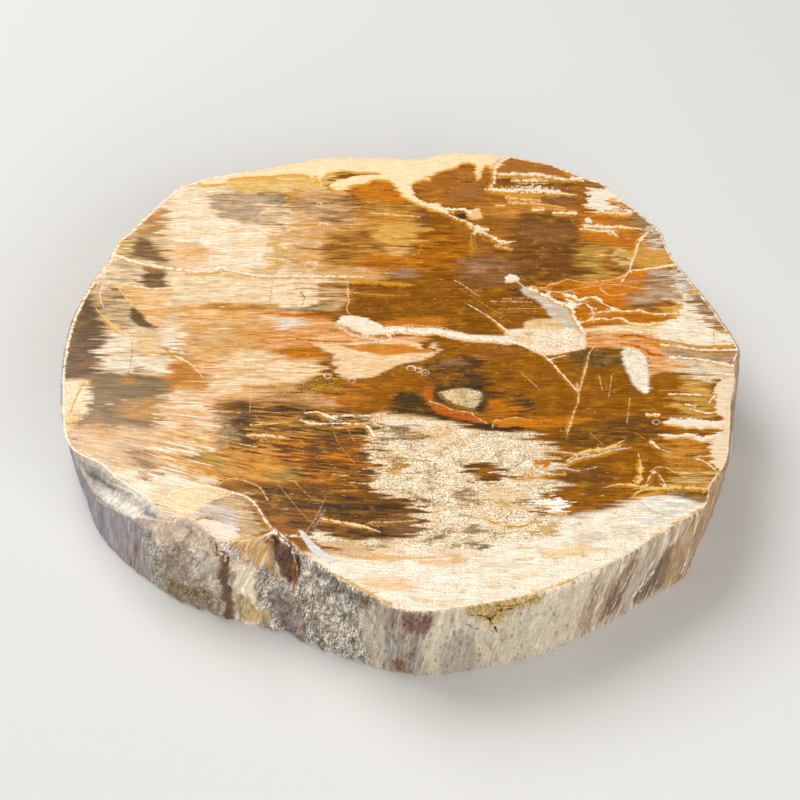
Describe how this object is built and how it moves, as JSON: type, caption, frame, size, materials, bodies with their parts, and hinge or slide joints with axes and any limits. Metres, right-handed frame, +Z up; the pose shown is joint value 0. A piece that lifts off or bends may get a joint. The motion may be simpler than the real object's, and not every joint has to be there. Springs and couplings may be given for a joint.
{
  "type": "petrified wood slice",
  "caption": "Flat slice of petrified wood with a polished, banded face in amber, brown and cream, a weathered rim and a broken corner, for display or as a small stand.",
  "frame": {"origin": "centre of the bounding box's footprint, on the surface that the slice rests on", "axes": "+X to the right of the picture along the grain, the slice's longest way; +Y away from the picture's viewer; +Z up out of the polished face"},
  "size_m": [0.1134, 0.104, 0.0172],
  "materials": {
    "petrified_wood": "polished face, weathered rim"
  },
  "bodies": {
    "root": {"petrified_wood_slice": "petrified_wood"}
  },
  "joints": []
}
